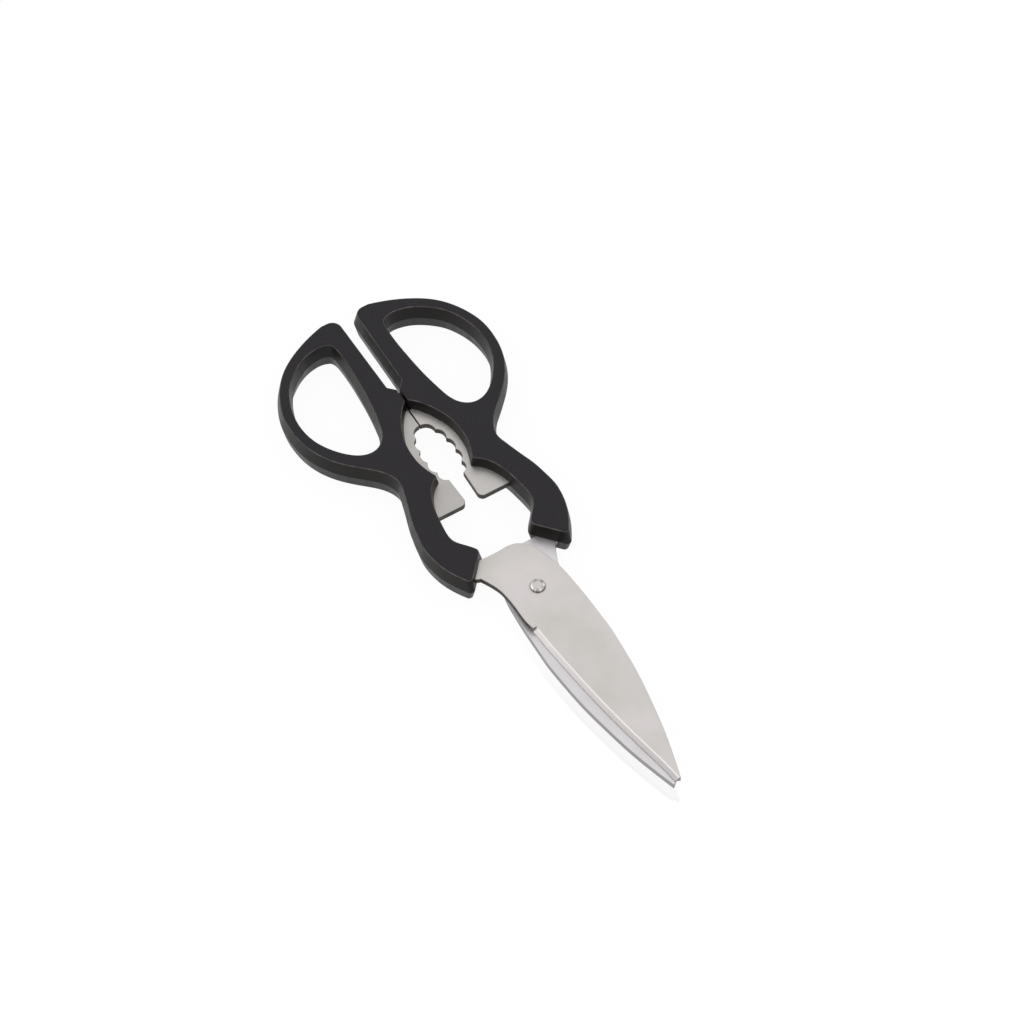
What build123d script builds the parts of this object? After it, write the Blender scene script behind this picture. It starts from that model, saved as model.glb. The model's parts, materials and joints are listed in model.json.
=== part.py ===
from build123d import *
import os
from math import cos, hypot, pi, sin

# Kitchen shears, lying closed on their handles, in millimetres.
#
# Two steel plates cross at a rivet. Each plate is one stamping: blade, hump round the rivet, tang,
# nutcracker jaw and cap lifter tab. Inside its handle the tang is cranked by half the step between the
# plates, so that both jaws and both tabs lie half way up and meet edge to edge. A plastic handle with a
# finger loop is moulded round each tang. The two halves are alike: the lower one is the upper one
# turned over about the long axis.
#
# +Y runs to the tips, +Z is up, and the handle at +X carries the upper plate. The origin is under the
# middle of the closed shears, on the surface that they lie on. Outlines are written about the rivet,
# with y back along the handles or forward along the blades, and level() puts them in place.

# Overall sizes
HANDLE_LENGTH = 120.8  # rivet to the back of the handles
BLADE_LENGTH = 80.4  # rivet to the tips
HALF_WIDTH = 38.1  # long axis to the outside of a finger loop
HANDLE_THICKNESS = 10.4
PLATE_THICKNESS = 2.3
SPINE_REACH = 11.3  # rivet to the widest part of a blade's back

# Handle
DRAFT = 0.8  # how far the parting line stands out past the flat faces
HANDLE_ROUND = 0.45  # edges of the flat faces
ROUND_STEPS = 4  # strips that make up a rounded edge
NECK_ROUND = 1.4
HEEL_ROUND = 3.4
CUSP_ROUND = 0.8
PAD_ROUND = 0.8
PAD_GAP = 0.3  # between the two stop pads, closed
PAD_DRAFT = 0.35
LOOP_LENGTH = 43.9
LOOP_WIDTH = 24.9
LOOP_SIDE_WALL = 3.4  # flat face beside the finger hole
LOOP_BACK_WALL = 7.2

# Plates
BLADE_GAP = 0.1  # between the two plates
JAW_GAP = 0.3  # between the nutcracker jaws behind their teeth, closed
SCALLOP_DEPTH = 1.2
TOOTH_ROUND = 0.4
TAB_ROUND = 1.9
EDGE_BREAK = 0.12
BEVEL_WIDTH = 1.2
EDGE_LAND = 0.15  # flat left under the ground bevel

# Rivet
SHAFT_DIAMETER = 3.8
FRONT_HEAD_DIAMETER = 4.6
FRONT_HEAD_HEIGHT = 0.8
FRONT_HEAD_ROUND = 0.4
REAR_HEAD_DIAMETER = 7.6
REAR_HEAD_HEIGHT = 1.1
WASHER_DIAMETER = 9.0
WASHER_THICKNESS = 0.5
RUNNING_FIT = 0.05  # between the shaft and its holes
HEAD_PLAY = 0.04  # between the front head and the upper plate

OVERRUN = 4.0  # how far a cut runs past what it cuts

# Places worked out from the sizes
RIVET_Y = (HANDLE_LENGTH - BLADE_LENGTH) / 2
MIDDLE_Z = HANDLE_THICKNESS / 2
UPPER_PLATE_Z = MIDDLE_Z + BLADE_GAP / 2
UPPER_PLATE_TOP = UPPER_PLATE_Z + PLATE_THICKNESS
LOWER_PLATE_Z = MIDDLE_Z - BLADE_GAP / 2 - PLATE_THICKNESS
CRANK_DROP = (PLATE_THICKNESS + BLADE_GAP) / 2
FACE_LENGTH = HANDLE_LENGTH - DRAFT
FACE_HALF_WIDTH = HALF_WIDTH - DRAFT
LOOP_FRONT = FACE_LENGTH - LOOP_BACK_WALL - LOOP_LENGTH

# Share of FACE_LENGTH at which the finger hole starts, so that what lies in front of it keeps clear of
# it
LOOP_FRONT_SHARE = 0.5742

# Outline of a handle's flat face: x as a share of FACE_HALF_WIDTH, y back as a share of FACE_LENGTH
OUTSIDE_SHARES = [
    (0.472, 0.084), (0.557, 0.127), (0.612, 0.168), (0.639, 0.209), (0.644, 0.237), (0.629, 0.274),
    (0.601, 0.319), (0.553, 0.366), (0.500, 0.420), (0.481, 0.450), (0.494, 0.470), (0.537, 0.496),
    (0.626, 0.527), (0.742, 0.561), (0.844, 0.597), (0.930, 0.641), (0.984, 0.692), (1.000, 0.742),
    (0.987, 0.792), (0.933, 0.841), (0.855, 0.884), (0.747, 0.922), (0.579, 0.958), (0.389, 0.985),
    (0.235, 1.000),
]
BACK_CORNER_SHARE = (0.085, 1.000)
PAD_BACK_SHARE = (0.074, 0.733)
PAD_FRONT_SHARE = (0.013, 0.713)
JAW_ARC_SHARES = [
    (0.013, 0.669), (0.070, 0.652), (0.120, 0.631), (0.176, 0.599), (0.225, 0.558), (0.241, 0.519),
    (0.236, 0.479), (0.206, 0.443), (0.174, 0.418),
]
LIFTER_ARC_SHARES = [
    (0.266, 0.395), (0.321, 0.366), (0.359, 0.330), (0.382, 0.290), (0.397, 0.254), (0.390, 0.224),
    (0.340, 0.200), (0.253, 0.161),
]

# Finger hole in the flat face: shares of its width, from its inner side, and of its length, from its
# front
LOOP_SHARES = [
    (0.060, 0.982), (0.150, 0.999), (0.281, 0.997), (0.450, 0.968), (0.632, 0.904), (0.788, 0.820),
    (0.907, 0.704), (0.974, 0.591), (1.000, 0.448), (0.944, 0.283), (0.827, 0.161), (0.686, 0.068),
    (0.529, 0.009), (0.370, 0.000), (0.250, 0.035), (0.172, 0.093), (0.104, 0.223), (0.052, 0.397),
    (0.016, 0.605), (0.000, 0.770), (0.000, 0.860), (0.012, 0.935),
]

# Parts of a plate that lie among the handle: the same shares as the handle's own outline
TANG_OUTER_SHARES = [
    (0.365, 0.096), (0.491, 0.125), (0.552, 0.166), (0.590, 0.225), (0.563, 0.300), (0.488, 0.366),
    (0.429, 0.433), (0.397, 0.500), (0.309, 0.584), (0.201, 0.646), (0.097, 0.675),
]
TANG_INNER_SHARES = [
    (0.322, 0.150), (0.413, 0.179), (0.475, 0.225), (0.483, 0.275), (0.455, 0.321),
]
TAB_CORNER_SHARE = (0.063, 0.321)
TOOTH_SHARES = [
    (0.073, 0.412), (0.116, 0.447), (0.136, 0.488), (0.125, 0.530), (0.094, 0.569),
]
JAW_TIP_SHARE = 0.601
JAW_NOSE_SHARE = 0.657

# Where the tang's crank starts and ends: the same shares as the handle's own outline
CRANK_FRONT_SHARE = 0.22
CRANK_BACK_SHARE = 0.29

# Blade: x as a share of SPINE_REACH, y forward as a share of BLADE_LENGTH
SPINE_SHARES = [
    (-0.105, 1.000), (-0.340, 0.889), (-0.539, 0.781), (-0.697, 0.670), (-0.864, 0.531),
    (-0.971, 0.372), (-1.000, 0.301), (-0.991, 0.228), (-0.978, 0.141), (-0.938, 0.047),
]
CUTTING_EDGE_SHARES = [
    (0.805, 0.154), (0.748, 0.274), (0.677, 0.376), (0.540, 0.544), (0.372, 0.704), (0.190, 0.845),
    (0.104, 0.912), (0.030, 0.990),
]

# Round the rivet: both as shares of SPINE_REACH
HUMP_SHARES = [
    (-0.867, -0.295), (-0.769, -0.664), (-0.692, -0.902), (-0.601, -1.140), (-0.450, -1.361),
    (-0.290, -1.482), (-0.071, -1.558), (0.249, -1.553), (0.595, -1.546),
]
HEEL_SHARES = [
    (1.070, -0.751), (0.950, -0.434), (0.896, -0.088), (0.875, 0.258), (0.867, 0.798),
]


def level(z):
    """The plane at height z with its origin on the rivet's axis."""
    return Plane((0, RIVET_Y, z))


def on_handle(share):
    """A point of the handle. The lengths before and behind the finger hole's front are shared out apart."""
    before = min(share[1], LOOP_FRONT_SHARE) / LOOP_FRONT_SHARE
    behind = max(share[1] - LOOP_FRONT_SHARE, 0) / (1 - LOOP_FRONT_SHARE)
    return (share[0] * FACE_HALF_WIDTH, -before * LOOP_FRONT - behind * (FACE_LENGTH - LOOP_FRONT))


def on_blade(share):
    return (share[0] * SPINE_REACH, share[1] * BLADE_LENGTH)


def by_rivet(share):
    return (share[0] * SPINE_REACH, share[1] * SPINE_REACH)


CRANK_FRONT_Y = on_handle((0, CRANK_FRONT_SHARE))[1]
CRANK_BACK_Y = on_handle((0, CRANK_BACK_SHARE))[1]


def moved_left(points, amount, closed=True):
    """The points of an outline moved to the left of its direction of travel, corner by corner."""
    moved = []
    for before, point, after in zip(points[-1:] + points, points, points[1:] + points[:1]):
        x, y = point
        if not closed and point is points[0]:
            before = (2 * x - after[0], 2 * y - after[1])
        if not closed and point is points[-1]:
            after = (2 * x - before[0], 2 * y - before[1])
        run_in = hypot(x - before[0], y - before[1])
        run_out = hypot(after[0] - x, after[1] - y)
        left_in = ((before[1] - y) / run_in, (x - before[0]) / run_in)
        left_out = ((y - after[1]) / run_out, (after[0] - x) / run_out)
        reach = amount / (1 + left_in[0] * left_out[0] + left_in[1] * left_out[1])
        moved.append((x + reach * (left_in[0] + left_out[0]), y + reach * (left_in[1] + left_out[1])))
    return moved


def round_corner(sketch, corner, radius):
    """Rounds the vertex of the sketch that lies nearest to the corner."""
    nearest = min(sketch.vertices(), key=lambda v: hypot(v.X - corner[0], v.Y - corner[1]))
    fillet(nearest, radius)


def handle_section(z, standing_out):
    """A handle's outline at height z, standing out past its flat face, its stop pad by less."""
    outside = [on_handle(share) for share in OUTSIDE_SHARES]
    stops = [on_handle(share) for share in (BACK_CORNER_SHARE, PAD_BACK_SHARE, PAD_FRONT_SHARE)]
    jaw_arc = [on_handle(share) for share in JAW_ARC_SHARES]
    lifter_arc = [on_handle(share) for share in LIFTER_ARC_SHARES]
    outline = moved_left(outside + stops + jaw_arc + lifter_arc, standing_out)
    outside = outline[:len(outside)]
    back_corner, pad_back, pad_front = outline[len(outside):len(outside) + len(stops)]
    cusp = len(outside) + len(stops) + len(jaw_arc) - 1
    jaw_arc = outline[len(outside) + len(stops):cusp + 1]
    lifter_arc = outline[cusp:]
    pad_x = PAD_GAP / 2 + PAD_DRAFT * (DRAFT - standing_out) / DRAFT
    pad_front = (pad_x, pad_front[1])
    jaw_arc[0] = (pad_x, jaw_arc[0][1])
    with BuildSketch(level(z)) as section:
        with BuildLine():
            Spline(*outside)
            Polyline(outside[-1], back_corner, pad_back, pad_front, jaw_arc[0])
            Spline(*jaw_arc)
            Spline(*lifter_arc)
            Line(lifter_arc[-1], outside[0])
        make_face()
        round_corner(section, back_corner, HEEL_ROUND)
        round_corner(section, outside[0], NECK_ROUND)
        round_corner(section, lifter_arc[-1], NECK_ROUND)
        round_corner(section, lifter_arc[0], CUSP_ROUND)
        round_corner(section, pad_back, PAD_ROUND)
        round_corner(section, pad_front, PAD_ROUND)
    return section.sketch


def loop_section(z, standing_out):
    """The finger hole at height z, drawn in by as much as the walls stand out."""
    left = FACE_HALF_WIDTH - LOOP_SIDE_WALL - LOOP_WIDTH
    rim = [(left + u * LOOP_WIDTH, -LOOP_FRONT - v * LOOP_LENGTH) for u, v in LOOP_SHARES]
    with BuildSketch(level(z)) as section:
        with BuildLine():
            Spline(*moved_left(rim, standing_out), periodic=True)
        make_face()
    return section.sketch


def plate_outline(z):
    """One stamping's outline at height z: blade, hump, tang, cap lifter tab and nutcracker jaw."""
    spine = [on_blade(share) for share in SPINE_SHARES]
    hump = [by_rivet(share) for share in HUMP_SHARES]
    tang_inner = [on_handle(share) for share in TANG_INNER_SHARES]
    tab_corner = on_handle(TAB_CORNER_SHARE)
    teeth = [on_handle(share) for share in TOOTH_SHARES]
    jaw_tip = (JAW_GAP / 2, on_handle((0, JAW_TIP_SHARE))[1])
    nose = (JAW_GAP / 2, on_handle((0, JAW_NOSE_SHARE))[1])
    tang_outer = [on_handle(share) for share in TANG_OUTER_SHARES]
    heel = [by_rivet(share) for share in HEEL_SHARES]
    edge = [on_blade(share) for share in CUTTING_EDGE_SHARES]
    with BuildSketch(level(z)) as outline:
        with BuildLine():
            Spline(*spine, *hump, tang_inner[0])
            Spline(*tang_inner)
            Polyline(tang_inner[-1], tab_corner, teeth[0])
            for near, far in zip(teeth, teeth[1:] + [jaw_tip]):
                SagittaArc(near, far, SCALLOP_DEPTH)
            Polyline(jaw_tip, nose, tang_outer[-1])
            Spline(*reversed(tang_outer))
            Spline(tang_outer[0], *heel, edge[0])
            Spline(*edge)
            Line(edge[-1], spine[0])
        make_face()
        round_corner(outline, tab_corner, TAB_ROUND)
        for tooth in teeth[1:]:
            round_corner(outline, tooth, TOOTH_ROUND)
    return outline.sketch


def across(y):
    """The plane across the plates at y from the rivet, facing the tips."""
    return Plane((0, RIVET_Y + y, 0), z_dir=(0, 1, 0))


def crank_side_view():
    """The cranked stretch of the upper plate, seen from the side."""
    corners = [
        (CRANK_FRONT_Y, UPPER_PLATE_Z),
        (CRANK_BACK_Y, UPPER_PLATE_Z - CRANK_DROP),
        (CRANK_BACK_Y, UPPER_PLATE_TOP - CRANK_DROP),
        (CRANK_FRONT_Y, UPPER_PLATE_TOP),
    ]
    with BuildSketch(Plane.YZ) as side:
        with BuildLine():
            Polyline(*[(RIVET_Y + y, z) for y, z in corners], close=True)
        make_face()
    return side.sketch


def bevel_section(z, inset):
    """Cutter for the ground bevel at height z: from the inset line out past the cutting edge."""
    edge = [on_blade(share) for share in CUTTING_EDGE_SHARES]
    inner = moved_left(edge, inset, closed=False)
    with BuildSketch(level(z)) as section:
        with BuildLine():
            Spline(*inner)
            over_tip = (inner[-1][0], inner[-1][1] + OVERRUN)
            beside_tip = (SPINE_REACH + OVERRUN, over_tip[1])
            beside_heel = (SPINE_REACH + OVERRUN, inner[0][1])
            Polyline(inner[-1], over_tip, beside_tip, beside_heel, inner[0])
        make_face()
    return section.sketch


def wall_levels():
    """Heights up a handle's wall, from the parting line round the edge, and how far it stands out there."""
    levels = [(MIDDLE_Z, DRAFT)]
    for step in range(ROUND_STEPS + 1):
        turn = pi / 2 * step / ROUND_STEPS
        levels.append((HANDLE_THICKNESS - HANDLE_ROUND * (1 - sin(turn)), -HANDLE_ROUND * (1 - cos(turn))))
    return levels


def turned_over(shape):
    """The shape turned over about the long axis, half way up the handles."""
    return shape.rotate(Axis((0, 0, MIDDLE_Z), (0, 1, 0)), 180)


# Steel plates, ground on one side to the cutting edge
with BuildPart() as upper_blade:
    add(plate_outline(UPPER_PLATE_Z))
    extrude(amount=PLATE_THICKNESS)
    flat_edges = upper_blade.edges().group_by(Axis.Z)
    chamfer(flat_edges[0] + flat_edges[-1], EDGE_BREAK)
    set_down = upper_blade.part.moved(Location((0, 0, -CRANK_DROP)))
    split(bisect_by=across(CRANK_FRONT_Y))
    add(split(set_down, bisect_by=across(CRANK_BACK_Y), keep=Keep.BOTTOM, mode=Mode.PRIVATE))
    web = extrude(plate_outline(LOWER_PLATE_Z), amount=UPPER_PLATE_TOP - LOWER_PLATE_Z, mode=Mode.PRIVATE)
    crank = extrude(crank_side_view(), amount=HALF_WIDTH, both=True, mode=Mode.PRIVATE)
    add(web & crank)
    with Locations(level(UPPER_PLATE_TOP)):
        Hole(SHAFT_DIAMETER / 2 + RUNNING_FIT)
    bevel_drop = PLATE_THICKNESS - EDGE_LAND
    bevel_slope = BEVEL_WIDTH / bevel_drop
    loft(
        [
            bevel_section(UPPER_PLATE_Z + EDGE_LAND, 0),
            bevel_section(UPPER_PLATE_TOP + OVERRUN, bevel_slope * (bevel_drop + OVERRUN)),
        ],
        ruled=True,
        mode=Mode.SUBTRACT,
    )
upper_blade.part.label = "upper_blade"

with BuildPart() as lower_blade:
    add(turned_over(upper_blade.part))
lower_blade.part.label = "lower_blade"

# Plastic handles, drafted both ways from a parting line half way up, moulded round the tangs
with BuildPart() as upper_handle:
    loft([handle_section(*wall_level) for wall_level in wall_levels()], ruled=True)
    loft([loop_section(*wall_level) for wall_level in wall_levels()], ruled=True, mode=Mode.SUBTRACT)
    mirror(about=level(MIDDLE_Z))
    add(upper_blade.part, mode=Mode.SUBTRACT)
upper_handle.part.label = "upper_handle"

with BuildPart() as lower_handle:
    add(turned_over(upper_handle.part))
lower_handle.part.label = "lower_handle"

# Rivet, with its small end in front, and the washer under its broad rear head
FRONT_HEAD_Z = UPPER_PLATE_TOP + HEAD_PLAY
REAR_HEAD_TOP = LOWER_PLATE_Z - WASHER_THICKNESS
with BuildPart() as pivot_rivet:
    with BuildSketch(level(REAR_HEAD_TOP - REAR_HEAD_HEIGHT)):
        Circle(REAR_HEAD_DIAMETER / 2)
    extrude(amount=REAR_HEAD_HEIGHT)
    chamfer(pivot_rivet.edges().group_by(Axis.Z)[0], REAR_HEAD_HEIGHT / 2)
    with BuildSketch(level(REAR_HEAD_TOP)):
        Circle(SHAFT_DIAMETER / 2)
    extrude(amount=FRONT_HEAD_Z - REAR_HEAD_TOP)
    with BuildSketch(level(FRONT_HEAD_Z)):
        Circle(FRONT_HEAD_DIAMETER / 2)
    extrude(amount=FRONT_HEAD_HEIGHT)
    fillet(pivot_rivet.edges().group_by(Axis.Z)[-1], FRONT_HEAD_ROUND)
pivot_rivet.part.label = "pivot_rivet"

with BuildPart() as rivet_washer:
    with BuildSketch(level(REAR_HEAD_TOP)):
        Circle(WASHER_DIAMETER / 2)
        Circle(SHAFT_DIAMETER / 2 + RUNNING_FIT, mode=Mode.SUBTRACT)
    extrude(amount=WASHER_THICKNESS)
rivet_washer.part.label = "rivet_washer"

os.makedirs("parts", exist_ok=True)
for piece in (upper_blade, lower_blade, upper_handle, lower_handle, pivot_rivet, rivet_washer):
    export_step(piece.part, f"parts/{piece.part.label}.step")
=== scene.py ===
# %% [markdown]
# # Kitchen shears on a white table
#
# The imported model already has every solid in its place: two stamped steel plates, two moulded handles, a
# rivet and its washer. This script dresses them. It sets up a camera and a white studio, then gives each
# piece the surface that its own making leaves on it: moulded grain on the plastic, and rolled sheet, ground
# bevels and sheared edges on the steel. Some light and shade is painted into these surfaces as well.

# %% Load the imported model
import json
from math import cos, pi, radians, sin

import bmesh
import bpy
from mathutils import Matrix, Vector


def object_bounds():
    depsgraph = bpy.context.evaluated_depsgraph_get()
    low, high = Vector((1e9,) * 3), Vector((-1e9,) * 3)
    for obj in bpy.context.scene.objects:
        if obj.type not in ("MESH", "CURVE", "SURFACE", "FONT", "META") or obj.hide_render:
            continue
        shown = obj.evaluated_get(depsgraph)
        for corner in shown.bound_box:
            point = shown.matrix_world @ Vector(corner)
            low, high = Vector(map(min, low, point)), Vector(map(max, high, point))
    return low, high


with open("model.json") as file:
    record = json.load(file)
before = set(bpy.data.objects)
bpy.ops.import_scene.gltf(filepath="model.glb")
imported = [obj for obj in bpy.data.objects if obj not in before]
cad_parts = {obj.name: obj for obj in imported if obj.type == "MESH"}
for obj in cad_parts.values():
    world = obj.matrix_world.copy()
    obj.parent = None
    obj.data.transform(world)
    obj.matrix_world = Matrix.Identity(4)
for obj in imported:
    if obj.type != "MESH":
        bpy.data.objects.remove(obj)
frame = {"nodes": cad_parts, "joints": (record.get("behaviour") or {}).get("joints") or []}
cad_low, cad_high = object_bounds()
MM = 0.001


def sides_mm(low, high):
    """The sides of a box in millimetres."""
    return [round((b - a) / MM, 1) for a, b in zip(low, high)]


print("model box in mm:", sides_mm(cad_low, cad_high))

# %% The rivet's axis, from which the finishes are measured
scene = bpy.context.scene
PIVOT = Vector(frame["joints"][0]["pos_m"])
print("rivet axis at", tuple(round(v / MM, 2) for v in PIVOT), "mm")

# %% [markdown]
# ## Camera
#
# The photograph looks down on the shears from past the tips, with a long lens. Its place was found by fitting
# the outlines of both halves: they are the same stamping and the same moulding, so one outline has to fit
# twice.

# %% Camera at the photograph's viewing angle
VIEW_AZIMUTH = 149.174
VIEW_ELEVATION = 56.322
VIEW_ROLL = -0.482
VIEW_DISTANCE = 1.2042
FOCAL_PIXELS = 3882.2
FRAME_PIXELS = 1024
PIVOT_PIXEL = (537.69, 590.30)
SENSOR_MM = 36.0

azimuth, elevation, roll = radians(VIEW_AZIMUTH), radians(VIEW_ELEVATION), radians(VIEW_ROLL)
back = Vector((sin(azimuth) * cos(elevation), -cos(azimuth) * cos(elevation), sin(elevation)))
level_right = Vector((cos(azimuth), sin(azimuth), 0))
level_up = back.cross(level_right)
right = level_right * cos(roll) + level_up * sin(roll)
up = level_up * cos(roll) - level_right * sin(roll)
aside = (PIVOT_PIXEL[0] - FRAME_PIXELS / 2) / FOCAL_PIXELS * VIEW_DISTANCE
below = (PIVOT_PIXEL[1] - FRAME_PIXELS / 2) / FOCAL_PIXELS * VIEW_DISTANCE

camera_data = bpy.data.cameras.new("camera")
camera_data.sensor_width = SENSOR_MM
camera_data.lens = FOCAL_PIXELS / FRAME_PIXELS * SENSOR_MM
camera = bpy.data.objects.new("camera", camera_data)
scene.collection.objects.link(camera)
turn = Matrix((right, up, back)).transposed().to_4x4()
camera.matrix_world = Matrix.Translation(PIVOT + back * VIEW_DISTANCE - right * aside + up * below) @ turn
scene.camera = camera
scene.view_settings.view_transform = "Standard"
print("camera at", tuple(round(v, 3) for v in camera.location), "with a", round(camera_data.lens), "mm lens")


# %% [markdown]
# ## Colours and nodes
#
# Colours are picked on screen, so they are written as sRGB hex values. Shaders work in linear light, and one
# function turns the one into the other. Each material is a small network of nodes, and another function adds
# a node to it with its settings and links.


# %% Colour and node helpers
def linear(hex_colour):
    """A linear RGBA colour from an sRGB hex value."""
    channels = [int(hex_colour[i:i + 2], 16) / 255 for i in (1, 3, 5)]
    return tuple(c / 12.92 if c <= 0.04045 else ((c + 0.055) / 1.055) ** 2.4 for c in channels) + (1.0,)


def node(tree, kind, inputs=None, **settings):
    """Adds a node, sets it up, and fills its sockets with values or with links from other nodes' outputs."""
    made = tree.nodes.new(kind)
    for name, value in settings.items():
        setattr(made, name, value)
    for name, value in (inputs or {}).items():
        if isinstance(value, bpy.types.NodeSocket):
            tree.links.new(value, made.inputs[name])
        else:
            made.inputs[name].default_value = value
    return made


def new_material(name):
    """A material with an empty node tree and its output node."""
    material = bpy.data.materials.new(name)
    material.use_nodes = True
    material.node_tree.nodes.clear()
    return material, node(material.node_tree, "ShaderNodeOutputMaterial")


print("a middle grey, #808080, is", round(linear("#808080")[0], 3), "in linear light")

# %% [markdown]
# ## Studio
#
# The shears lie on a glossy white sheet in a white room. In the photograph the sheet is pure white, with a
# pale mirror image just under the blades and next to no shadow. A sheet lit until it burns out would light
# the plastic far too much, so sheet and room are shown white by Light Path instead, while the light that they
# throw on the shears stays plain.

# %% White gloss of the sheet
WHITE = linear("#ffffff")
SHEET_GLOW = 0.945
SHEET_LIT_SHARE = 0.07
SHEET_BOUNCE = linear("#e6e6e6")
SHEET_GLOSS = 0.14
SHEET_ROUGHNESS = 0.03
GLOSS_MM = (0, 45)  # from the rivet towards the tips: where the mirror image starts and where it is full


def shown_rays(tree):
    """One for rays that show a surface, in metal and glass too, and zero for those that carry its light."""
    path = node(tree, "ShaderNodeLightPath").outputs
    shown = path["Is Camera Ray"]
    for mirrored in ("Is Glossy Ray", "Is Transmission Ray"):
        shown = node(tree, "ShaderNodeMath", {0: shown, 1: path[mirrored]}, operation="MAXIMUM").outputs[0]
    return shown


sheet_material, output = new_material("white_gloss_sheet")
tree = sheet_material.node_tree
place = node(tree, "ShaderNodeSeparateXYZ", {0: node(tree, "ShaderNodeTexCoord").outputs["Object"]})
polish = node(tree, "ShaderNodeMapRange", {
    "Value": place.outputs["Y"],
    "From Min": PIVOT.y + GLOSS_MM[0] * MM, "From Max": PIVOT.y + GLOSS_MM[1] * MM, "To Max": SHEET_GLOSS,
}, interpolation_type="SMOOTHSTEP")
glow = node(tree, "ShaderNodeEmission", {"Color": WHITE, "Strength": SHEET_GLOW})
lit = node(tree, "ShaderNodeBsdfDiffuse", {"Color": (SHEET_LIT_SHARE,) * 3 + (1,)})
shown = node(tree, "ShaderNodeAddShader", {0: glow.outputs[0], 1: lit.outputs[0]})
mirror = node(tree, "ShaderNodeBsdfGlossy", {"Color": WHITE, "Roughness": SHEET_ROUGHNESS})
shown = node(tree, "ShaderNodeMixShader", {0: polish.outputs[0], 1: shown.outputs[0], 2: mirror.outputs[0]})
bounced = node(tree, "ShaderNodeBsdfDiffuse", {"Color": SHEET_BOUNCE})
both = node(tree, "ShaderNodeMixShader", {0: shown_rays(tree), 1: bounced.outputs[0], 2: shown.outputs[0]})
tree.links.new(both.outputs[0], output.inputs["Surface"])
print("past", GLOSS_MM[1], "mm the sheet mirrors", SHEET_GLOSS, "of what lies on it")

# %% White sheet, a hair below the handles, so that no two faces share a place
FLOOR_HALF = 3.0
SHEET_BELOW_MM = 0.05

sheet_bm = bmesh.new()
lowered = Matrix.Translation((0, 0, -SHEET_BELOW_MM * MM))
bmesh.ops.create_grid(sheet_bm, x_segments=1, y_segments=1, size=FLOOR_HALF, matrix=lowered)
sheet_mesh = bpy.data.meshes.new("sheet")
sheet_bm.to_mesh(sheet_mesh)
sheet_bm.free()
sheet = bpy.data.objects.new("sheet", sheet_mesh)
scene.collection.objects.link(sheet)
sheet_mesh.materials.append(sheet_material)
print("white sheet,", 2 * FLOOR_HALF, "m across,", SHEET_BELOW_MM, "mm below the handles")

# %% White room: white to the eye, a plain level as light
WORLD_LEVEL = 0.82

world = bpy.data.worlds.new("studio")
scene.world = world
world.use_nodes = True
tree = world.node_tree
tree.nodes.clear()
plain = node(tree, "ShaderNodeBackground", {"Color": WHITE, "Strength": WORLD_LEVEL})
white = node(tree, "ShaderNodeBackground", {"Color": WHITE, "Strength": 1.0})
both = node(tree, "ShaderNodeMixShader", {0: shown_rays(tree), 1: plain.outputs[0], 2: white.outputs[0]})
world_output = node(tree, "ShaderNodeOutputWorld")
tree.links.new(both.outputs[0], world_output.inputs["Surface"])
print("the room lights the shears at", WORLD_LEVEL, "and looks white")

# %% [markdown]
# The room gives most of the light. One softbox from the side adds a little shape to the handles. It is wide
# and weak on purpose: seen from low down, the flat steel mirrors it on top of the white room, and a stronger
# lamp would burn the blades out to pure white.

# %% Softbox from the side
SOFTBOX_PLACE = Vector((0.9, -0.55, 0.7))
SOFTBOX_SIDE = 1.3
SOFTBOX_WATTS = 1.6

softbox_data = bpy.data.lights.new("side_softbox", "AREA")
softbox_data.size = SOFTBOX_SIDE
softbox_data.energy = SOFTBOX_WATTS
softbox = bpy.data.objects.new("side_softbox", softbox_data)
scene.collection.objects.link(softbox)
away_from_shears = SOFTBOX_PLACE.normalized().to_track_quat("Z", "Y").to_matrix().to_4x4()
softbox.matrix_world = Matrix.Translation(SOFTBOX_PLACE) @ away_from_shears
print("softbox radiance", round(SOFTBOX_WATTS / (pi * SOFTBOX_SIDE ** 2), 2))

# %% [markdown]
# ## Finishes
# One piece carries several finishes side by side: each face has the one that its making left there, and some
# faces carry painted light or shade too. A finish is laid like a coat, over the ones before it and only where
# a share of one says so. The shares come from the way a face points, from its place on the shears, or from a
# noise.

# %% Helpers that lay one finish over another
MIX_SOCKETS = {"RGBA": (6, 7, 2), "FLOAT": (2, 3, 0)}  # a Mix node's two inputs and its result, by kind
NOISE_MIDDLE = (0.3, 0.7)  # nearly all of a noise lies between these
UNDER_ALL = -1.0  # lower than any share


def lay(tree, base, *coats, kind="RGBA"):
    """Lays coats over a base, each by its own share: colours, or numbers where the kind is FLOAT."""
    under, over, result = MIX_SOCKETS[kind]
    for share, coat in coats:
        mixed = node(tree, "ShaderNodeMix", {0: share, under: base, over: coat}, data_type=kind)
        base = mixed.outputs[result]
    return base


def between(tree, value, low, high):
    """One where the value lies between two levels, zero elsewhere."""
    over = node(tree, "ShaderNodeMath", {0: value, 1: low}, operation="GREATER_THAN").outputs[0]
    under = node(tree, "ShaderNodeMath", {0: value, 1: high}, operation="LESS_THAN").outputs[0]
    return node(tree, "ShaderNodeMath", {0: over, 1: under}, operation="MULTIPLY").outputs[0]


def spread(tree, noise, low, high):
    """A noise's middle range spread between two levels."""
    return node(tree, "ShaderNodeMapRange", {
        "Value": noise, "From Min": NOISE_MIDDLE[0], "From Max": NOISE_MIDDLE[1],
        "To Min": low, "To Max": high,
    }).outputs[0]


def steepness(tree, coords):
    """How far a face turns to the flat: one on the flats, zero on an upright wall."""
    facing = node(tree, "ShaderNodeSeparateXYZ", {0: coords["Normal"]})
    return node(tree, "ShaderNodeMath", {0: facing.outputs["Z"]}, operation="ABSOLUTE").outputs[0]


def per(size_mm):
    """The scale at which a noise has features of about this size."""
    return 1 / (size_mm * MM)


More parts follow.
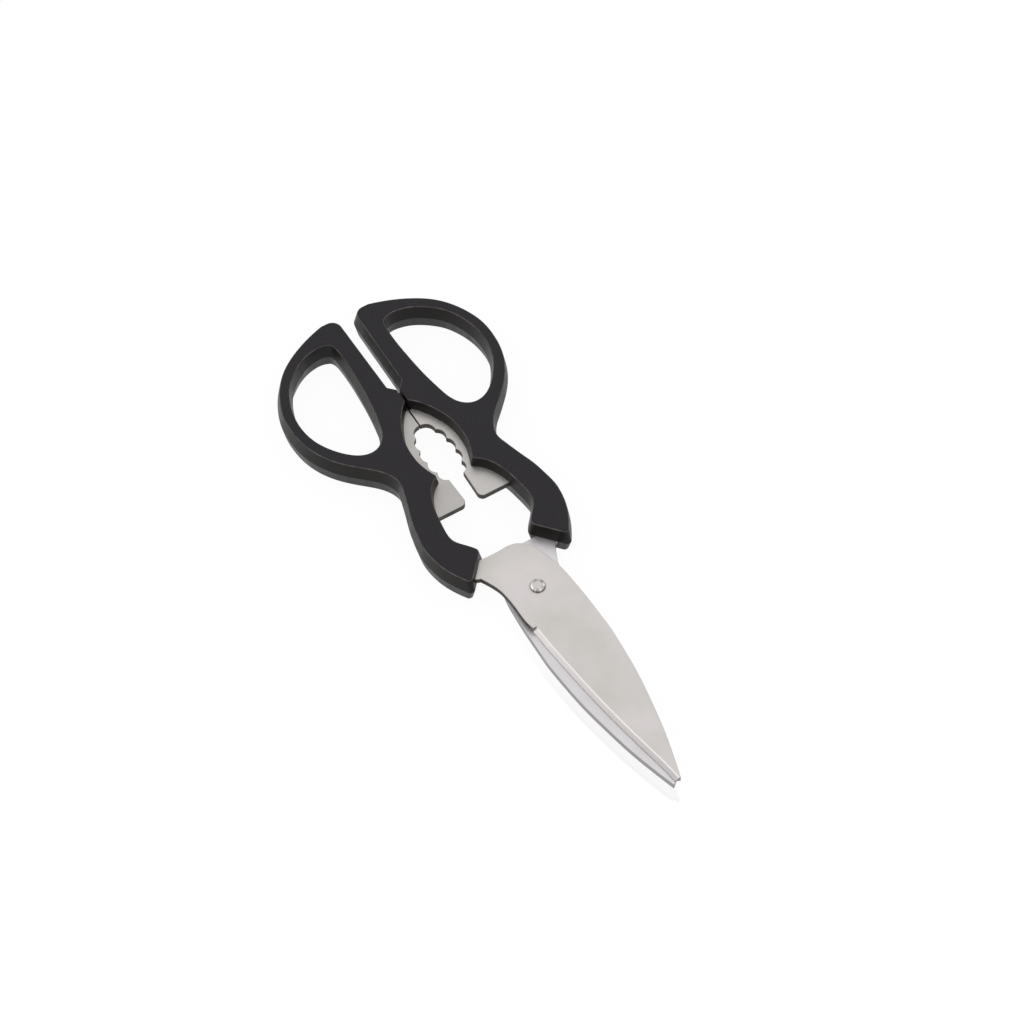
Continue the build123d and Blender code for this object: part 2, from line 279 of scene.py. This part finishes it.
def dress(names, material):
    """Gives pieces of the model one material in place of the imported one."""
    for name in names:
        slots = frame["nodes"][name].data.materials
        slots.clear()
        slots.append(material)
    print(material.name, "on", " and ".join(names))


print("sockets of a Mix node, by kind:", MIX_SOCKETS)

# %% [markdown]
# ## Handles
#
# The handles are moulded ABS in a spark-eroded steel mould. The mould's texture gives a fine, dry grain: dull
# black on the flats. The walls slide along the steel as the part leaves the mould, which drags them smoother
# and streaks them brown; they are also painted darker than the flats, as shade. The rounded edges carry a
# painted highlight, a fine pale line round every outline. The way a face points tells which of the three it
# is.
#
# The grain is about 0.1 mm on the real part, too fine for this picture, so it is drawn about four times as
# coarse.

# %% Grain, drag marks and painted edge highlights of the moulding
GRAIN_MM = 0.4
CLOUD_MM = 9.0
DRAG_MM = (2.5, 2.5, 14.0)  # level, level and upright
WALL_BELOW = 0.36
EDGE_HIGHLIGHT_FROM = 0.40
EDGE_HIGHLIGHT_TO = 0.90

moulded_abs, output = new_material("moulded_black_abs")
tree = moulded_abs.node_tree
coords = node(tree, "ShaderNodeTexCoord").outputs
steep = steepness(tree, coords)
wall = between(tree, steep, UNDER_ALL, WALL_BELOW)
# the slanted strips of the rounded edges, which get a painted highlight
highlight_edge = between(tree, steep, EDGE_HIGHLIGHT_FROM, EDGE_HIGHLIGHT_TO)
grain = node(tree, "ShaderNodeTexNoise", {
    "Vector": coords["Object"], "Scale": per(GRAIN_MM), "Detail": 3.0,
}).outputs["Fac"]
cloud = node(tree, "ShaderNodeTexNoise", {
    "Vector": coords["Object"], "Scale": per(CLOUD_MM), "Detail": 2.0,
}).outputs["Fac"]
drag_space = node(tree, "ShaderNodeMapping", {
    "Vector": coords["Object"], "Scale": [per(size) for size in DRAG_MM],
}).outputs[0]
drag = node(tree, "ShaderNodeTexNoise", {"Vector": drag_space, "Scale": 1.0, "Detail": 2.0}).outputs["Fac"]
print("grain drawn", GRAIN_MM, "mm coarse, drag marks", DRAG_MM[2], "mm high")

# %% Moulded black ABS
FLECK_SHARE = 0.75
HIGHLIGHT_FLECK_SHARE = 0.35
GRAIN_ROUGHNESS = (0.46, 0.60)
DRAG_ROUGHNESS = (0.36, 0.46)
GRAIN_BUMP = 0.3
GRAIN_DEPTH_MM = 0.03
ABS_IOR = 1.54
ABS_SHINE = 0.18  # a smooth face has 0.5, and the pits of the grain swallow most of that

dragged_share = spread(tree, drag, 0.0, 1.0)
fleck = spread(tree, grain, 0.0, FLECK_SHARE)
highlight_fleck = spread(tree, grain, 0.0, HIGHLIGHT_FLECK_SHARE)
flat = lay(tree, linear("#141215"), (cloud, linear("#1d1b1e")), (fleck, linear("#363337")))
# walls: painted shade, darker than the flats, streaked with brown drag marks
wall_shade_and_drag = lay(tree, linear("#0f0d0c"), (dragged_share, linear("#1a1715")))
# edges: a pale painted highlight, flecked by the grain
pale = lay(tree, linear("#262323"), (dragged_share, linear("#625e5b")), (highlight_fleck, linear("#74706d")))
wall_roughness = spread(tree, drag, *DRAG_ROUGHNESS)
roughness = lay(tree, spread(tree, grain, *GRAIN_ROUGHNESS), (wall, wall_roughness), kind="FLOAT")
bump = node(tree, "ShaderNodeBump", {
    "Height": grain, "Strength": GRAIN_BUMP, "Distance": GRAIN_DEPTH_MM * MM,
}).outputs[0]
plastic = node(tree, "ShaderNodeBsdfPrincipled", {
    "Base Color": lay(tree, flat, (wall, wall_shade_and_drag), (highlight_edge, pale)), "Roughness": roughness,
    "Normal": bump, "IOR": ABS_IOR, "Specular IOR Level": ABS_SHINE,
})
tree.links.new(plastic.outputs[0], output.inputs["Surface"])
dress(("upper_handle", "lower_handle"), moulded_abs)

# %% [markdown]
# ## Blades
#
# The blades are blanked from rolled stainless sheet. Each way of working it leaves its own surface, and the
# way a face points tells which one it has: the flats of the blade keep the satin of its last polish, the
# upright edges are sheared and duller, and the slanted strip along the cutting edge is ground across and
# painted brightest, as a painted reflection that dims towards the tip, with a painted highlight along its
# rim.
# The jaws and tabs between the handles are painted greyer, as the shade and dark reflection of the handles.
# Along the blade's back the sheared edge is dressed smooth by the polish, and a painted shadow rings the
# rivet.

# %% Where each finish, painted shade and painted highlight of the steel lies
UPRIGHT_BELOW = 0.30
BEVEL_FROM = 0.42
BEVEL_TO = 0.60
BREAK_TO = 0.90
# The first stretch is where the painted shade of the handles on the jaws and tabs fades out.
HANDLE_SHADE_MM = (-30, -12)  # along the blades from the rivet, as are the next three
# Over the next stretch the bevel's painted brightness dims towards the tip.
BEVEL_MM = (14, 78)
FRONT_DRESSED_MM = (10, 14)
REAR_DRESSED_MM = (-9, -3)
HALF_HEIGHT = (cad_low.z + cad_high.z) / 2
# Beyond this height the bevel's rim gets a painted highlight line.
BEVEL_RIM_MM = 1.85  # above or below the half height
# Round the rivet the steel gets a painted shadow, strongest close to its head.
RIVET_SHADOW_MM = (2.25, 2.85)  # out from the rivet's axis
RIVET_SHADOW_SHARE = 0.75


def from_rivet(tree, coords):
    """The level offset from the rivet's axis and its length: one Mapping node centres and flattens."""
    offset = node(tree, "ShaderNodeMapping", {
        "Vector": coords["Object"], "Location": (-PIVOT.x, -PIVOT.y, 0), "Scale": (1, 1, 0),
    }).outputs[0]
    return offset, node(tree, "ShaderNodeVectorMath", {0: offset}, operation="LENGTH").outputs["Value"]


def steel_zones(tree, coords, dressed_mm):
    """The share of each finish and painted light: by the way a face points, along the blade, by height, round
    the rivet.
    """
    steep = steepness(tree, coords)
    place = node(tree, "ShaderNodeSeparateXYZ", {0: coords["Object"]}).outputs
    zones = {
        "upright": between(tree, steep, UNDER_ALL, UPRIGHT_BELOW),
        "ground": between(tree, steep, BEVEL_FROM, BEVEL_TO),
        "broken": between(tree, steep, BEVEL_TO, BREAK_TO),
    }
    stretches = {
        "polished": (HANDLE_SHADE_MM, "SMOOTHSTEP"),
        "dressed": (dressed_mm, "SMOOTHSTEP"),
        "towards_tip": (BEVEL_MM, "LINEAR"),
    }
    for name, ((start, end), rise) in stretches.items():
        zones[name] = node(tree, "ShaderNodeMapRange", {
            "Value": place["Y"], "From Min": PIVOT.y + start * MM, "From Max": PIVOT.y + end * MM,
        }, interpolation_type=rise).outputs[0]
    height = node(tree, "ShaderNodeMath", {0: place["Z"], 1: HALF_HEIGHT}, operation="SUBTRACT").outputs[0]
    off_middle = node(tree, "ShaderNodeMath", {0: height}, operation="ABSOLUTE").outputs[0]
    zones["bevel_rim"] = node(tree, "ShaderNodeMath", {
        0: off_middle, 1: BEVEL_RIM_MM * MM,
    }, operation="GREATER_THAN").outputs[0]
    zones["grimy"] = node(tree, "ShaderNodeMapRange", {
        "Value": from_rivet(tree, coords)[1], "From Min": RIVET_SHADOW_MM[0] * MM, "From Max": RIVET_SHADOW_MM[1] * MM,
        "To Min": RIVET_SHADOW_SHARE, "To Max": 0.0,
    }, interpolation_type="SMOOTHSTEP").outputs[0]
    return zones


print("the bevel darkens from", BEVEL_MM[0], "to", BEVEL_MM[1], "mm past the rivet")

# %% [markdown]
# Brushing leaves fine lines along the blade, and grinding leaves short ones across its bevel. They blur what
# the steel mirrors, which gives it the satin look. On real shears they are 0.05 mm or so apart, too fine for
# this picture, so both are drawn about five times as coarse. The rolled sheet itself is a little cloudy.

# %% Lines and clouds in the steel
BRUSH_MM = (0.25, 14.0)  # across the blades and along them, as is the next
GRIND_MM = (3.0, 0.22)
SHEET_CLOUD_MM = 16.0


def steel_marks(tree, coords):
    """Brushing along the blade, grinding across it, and the sheet's clouds."""
    marks = []
    for across_mm, along_mm in (BRUSH_MM, GRIND_MM):
        space = node(tree, "ShaderNodeMapping", {
            "Vector": coords["Object"], "Scale": (per(across_mm), per(along_mm), per(across_mm)),
        }).outputs[0]
        lines = node(tree, "ShaderNodeTexNoise", {"Vector": space, "Scale": 1.0, "Detail": 2.0})
        marks.append(lines.outputs["Fac"])
    cloud = node(tree, "ShaderNodeTexNoise", {
        "Vector": coords["Object"], "Scale": per(SHEET_CLOUD_MM), "Detail": 3.0,
    }).outputs["Fac"]
    return marks[0], marks[1], spread(tree, cloud, 0.0, 1.0)


print("brushing drawn", BRUSH_MM[0], "mm apart, grinding", GRIND_MM[1], "mm")

# %% Stainless steel plates
GRIND_SHARE = 0.25
SATIN_ROUGHNESS = (0.34, 0.44)
SHEARED_ROUGHNESS = 0.55
BREAK_ROUGHNESS = 0.5
LINE_BUMP = 0.12
LINE_DEPTH_MM = 0.01


def stainless(name, polished_hexes, handle_shade_hexes, dressed_mm):
    """Stamped stainless sheet whose finish and painted light follow the way each face points and where it
    lies.
    """
    material, output = new_material(name)
    tree = material.node_tree
    coords = node(tree, "ShaderNodeTexCoord").outputs
    zone = steel_zones(tree, coords, dressed_mm)
    brush, grind, clouded = steel_marks(tree, coords)
    streaked = spread(tree, grind, 0.0, 1.0)
    streak = spread(tree, grind, 0.0, GRIND_SHARE)
    # lighter blade steel, and a greyer copy painted as the handles' shade on the jaws and tabs
    polished = lay(tree, linear(polished_hexes[0]), (clouded, linear(polished_hexes[1])))
    handle_shaded_steel = lay(tree, linear(handle_shade_hexes[0]), (clouded, linear(handle_shade_hexes[1])))
    # flats: painted handle shade near the handles, and a painted shadow round the rivet
    flat = lay(tree, handle_shaded_steel, (zone["polished"], polished), (zone["grimy"], linear("#4d4946")))
    sheared = lay(
        tree, linear("#3e3b38"), (streaked, linear("#575350")), (zone["dressed"], linear("#a09e9f")),
    )
    # bevel: a painted reflection, brightest at the heel and dimmer towards the tip, with grind streaks and a
    # painted highlight along its rim
    bright = lay(
        tree, linear("#eae5e3"), (zone["towards_tip"], linear("#c7c3c2")), (streak, linear("#d2cdcb")),
        (zone["bevel_rim"], linear("#f4f0ee")),
    )
    # chamfers: darker under the painted shade of the handles
    edge_break = lay(tree, linear("#8f8c89"), (zone["polished"], linear("#b4b1ae")))
    colour = lay(
        tree, flat, (zone["upright"], sheared), (zone["ground"], bright), (zone["broken"], edge_break),
    )

    lines = lay(tree, brush, (zone["ground"], grind), kind="FLOAT")
    roughness = lay(
        tree, spread(tree, lines, *SATIN_ROUGHNESS),
        (zone["upright"], SHEARED_ROUGHNESS), (zone["broken"], BREAK_ROUGHNESS), kind="FLOAT",
    )
    bump = node(tree, "ShaderNodeBump", {
        "Height": lines, "Strength": LINE_BUMP, "Distance": LINE_DEPTH_MM * MM,
    }).outputs[0]
    steel = node(tree, "ShaderNodeBsdfPrincipled", {
        "Base Color": colour, "Metallic": 1.0, "Roughness": roughness, "Normal": bump,
    })
    tree.links.new(steel.outputs[0], output.inputs["Surface"])
    return material


dress(("upper_blade",), stainless(
    "satin_stainless_front", ("#c8c5c0", "#d5d0cf"), ("#a9a6a3", "#bbb8b5"), FRONT_DRESSED_MM,
))
dress(("lower_blade",), stainless(
    "satin_stainless_rear", ("#d1cfd0", "#dfdcdf"), ("#c1bebb", "#cbc8c5"), REAR_DRESSED_MM,
))

# %% [markdown]
# ## Rivet
#
# The rivet is turned bright and closed over in a press. The turned end face keeps rings round the axis, just
# deep enough to spread a reflection into an arc, and drawn a few times as coarse as real ones. The press
# rolls the rim over, and the rim is painted with glints and dark patches by turns, as painted reflections of
# the room. In front a painted highlight ring lies inside the rim, set off from the face by a thin painted
# dark
# ring: the light and shade of a rounded shoulder, painted onto the flat face.

# %% Rings, rim and painted highlight ring of the rivet
RING_MM = 0.18
RIM_BELOW = 0.93
RIM_GLINT_SCALE = 1.5
DARK_RING_FROM_MM = 1.42
HIGHLIGHT_RING_FROM_MM = 1.56
HIGHLIGHT_RING_TO_MM = 2.3

turned_steel, output = new_material("turned_bright_steel")
tree = turned_steel.node_tree
coords = node(tree, "ShaderNodeTexCoord").outputs
place = node(tree, "ShaderNodeSeparateXYZ", {0: coords["Object"]}).outputs
offset, radius = from_rivet(tree, coords)
rim = between(tree, steepness(tree, coords), UNDER_ALL, RIM_BELOW)
# rings on the front face where painted shade and a painted highlight lie
on_painted_dark_ring = between(tree, radius, DARK_RING_FROM_MM * MM, HIGHLIGHT_RING_FROM_MM * MM)
on_painted_highlight_ring = between(tree, radius, HIGHLIGHT_RING_FROM_MM * MM, HIGHLIGHT_RING_TO_MM * MM)
in_front = node(tree, "ShaderNodeMath", {0: place["Z"], 1: HALF_HEIGHT}, operation="GREATER_THAN").outputs[0]
rings = node(tree, "ShaderNodeTexNoise", {
    "W": radius, "Scale": per(RING_MM),
}, noise_dimensions="1D").outputs["Fac"]
outward = node(tree, "ShaderNodeVectorMath", {0: offset}, operation="NORMALIZE").outputs[0]
# noise round the axis that sets where the painted glints and dark patches fall
flats = node(tree, "ShaderNodeTexNoise", {
    "Vector": outward, "Scale": RIM_GLINT_SCALE, "Detail": 1.0,
}).outputs["Fac"]
print("rings drawn", RING_MM, "mm apart, crown", HIGHLIGHT_RING_FROM_MM, "to", HIGHLIGHT_RING_TO_MM, "mm from the axis")

# %% Turned bright steel with a rolled rim and painted glints
HIGHLIGHT_RING_SPREAD = (-0.2, 1.4)
RING_ROUGHNESS = (0.26, 0.36)
RIM_ROUGHNESS = 0.24
RING_BUMP = 0.15
RING_DEPTH_MM = 0.01

glint_share = spread(tree, flats, 0.0, 1.0)
face = lay(tree, linear("#c6c3c0"), (rings, linear("#d0cdca")))
# front face: a thin painted dark ring, then a painted highlight ring
painted_dark_ring = lay(tree, linear("#6b6764"), (glint_share, linear("#c6c3c0")))
painted_highlight = lay(tree, linear("#95918e"), (spread(tree, flats, *HIGHLIGHT_RING_SPREAD), linear("#ebe8e6")))
# rim: painted glints and dark patches
rim_glints = lay(tree, linear("#4a4643"), (glint_share, linear("#f3f1ef")))
pressed = lay(tree, face, (on_painted_dark_ring, painted_dark_ring), (on_painted_highlight_ring, painted_highlight))
roughness = lay(tree, spread(tree, rings, *RING_ROUGHNESS), (rim, RIM_ROUGHNESS), kind="FLOAT")
bump = node(tree, "ShaderNodeBump", {
    "Height": rings, "Strength": RING_BUMP, "Distance": RING_DEPTH_MM * MM,
}).outputs[0]
steel = node(tree, "ShaderNodeBsdfPrincipled", {
    "Base Color": lay(tree, face, (in_front, pressed), (rim, rim_glints)), "Metallic": 1.0,
    "Roughness": roughness, "Normal": bump,
})
tree.links.new(steel.outputs[0], output.inputs["Surface"])
dress(("pivot_rivet", "rivet_washer"), turned_steel)
